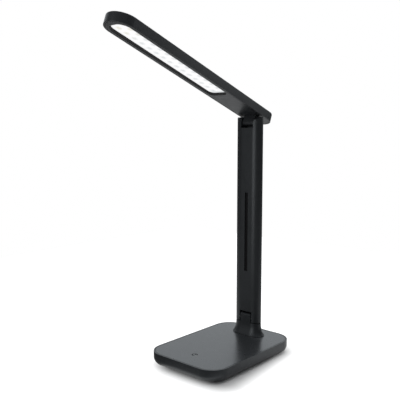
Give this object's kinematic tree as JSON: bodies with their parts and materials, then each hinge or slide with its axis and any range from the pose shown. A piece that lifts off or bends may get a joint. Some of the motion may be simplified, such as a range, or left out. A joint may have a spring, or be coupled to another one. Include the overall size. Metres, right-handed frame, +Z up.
{
  "type": "folding led desk lamp",
  "caption": "Folding LED desk lamp: weighted flat base with a touch switch, an upright arm that folds forward and a long slim head with a recessed light panel.",
  "frame": {"origin": "middle of the base's underside, on the table", "axes": "+Z up, the head points to -Y (front), +X is to the right of someone who faces the lamp's front"},
  "size_m": [0.11, 0.2633, 0.3954],
  "materials": {
    "base_black": "fine satin black moulding",
    "plate_black": "smooth satin black plate",
    "mark_ink": "dark printed power mark",
    "arm_black": "fine satin black moulding",
    "head_black": "fine satin black moulding",
    "diffuser_white": "frosted white light panel",
    "lamp_yellow": "phosphor of the lamps",
    "board_white": "white coated aluminium board",
    "board_green": "green circuit board",
    "contact_grey": "conductive foam rubber",
    "pad_rubber": "matt black rubber",
    "ballast_steel": "zinc plated steel",
    "screw_steel": "bright plated steel",
    "screw_black": "black oxide steel",
    "socket_steel": "bright nickel",
    "lead_grey": "dark insulation"
  },
  "bodies": {
    "base": {"base_tub": "base_black", "pedestal": "base_black", "base_top_plate": "plate_black", "touch_mark": "mark_ink", "control_board": "board_green", "socket_board": "board_green", "touch_pad": "contact_grey", "base_pad": "pad_rubber", "ballast_plate": "ballast_steel", "pedestal_stiffener": "ballast_steel", "ballast_screws": "screw_steel", "control_board_screws": "screw_steel", "socket_board_screws": "screw_steel", "lid_screws": "screw_steel", "pedestal_screws": "screw_steel", "power_socket": "socket_steel", "supply_lead": "lead_grey", "lamp_lead": "lead_grey"},
    "arm": {"arm_housing": "arm_black", "arm_rear_cover": "arm_black", "arm_cover_screws": "screw_black", "arm_stiffener": "ballast_steel", "arm_lead": "lead_grey", "lower_hinge_pin": "screw_steel", "lower_hinge_cap": "arm_black", "lower_hinge_washers": "screw_steel", "upper_hinge_pin": "screw_steel", "upper_hinge_cap": "arm_black", "upper_hinge_washers": "screw_steel"},
    "head": {"head_shell": "head_black", "head_bezel": "head_black", "diffuser": "diffuser_white", "led_board": "board_white", "leds": "lamp_yellow", "led_board_screws": "screw_steel", "head_knuckle": "head_black", "knuckle_screws": "screw_steel", "head_lead": "lead_grey"}
  },
  "joints": [
    {"name": "base_hinge", "type": "hinge", "parent": "base", "child": "arm", "pos_m": [0, 0.0509, 0.039], "axis": [1, 0, 0], "range_deg": [0, 90]},
    {"name": "head_hinge", "type": "hinge", "parent": "arm", "child": "head", "pos_m": [0, 0.0546, 0.2921], "axis": [1, 0, 0], "range_deg": [-40, 110.2]}
  ]
}
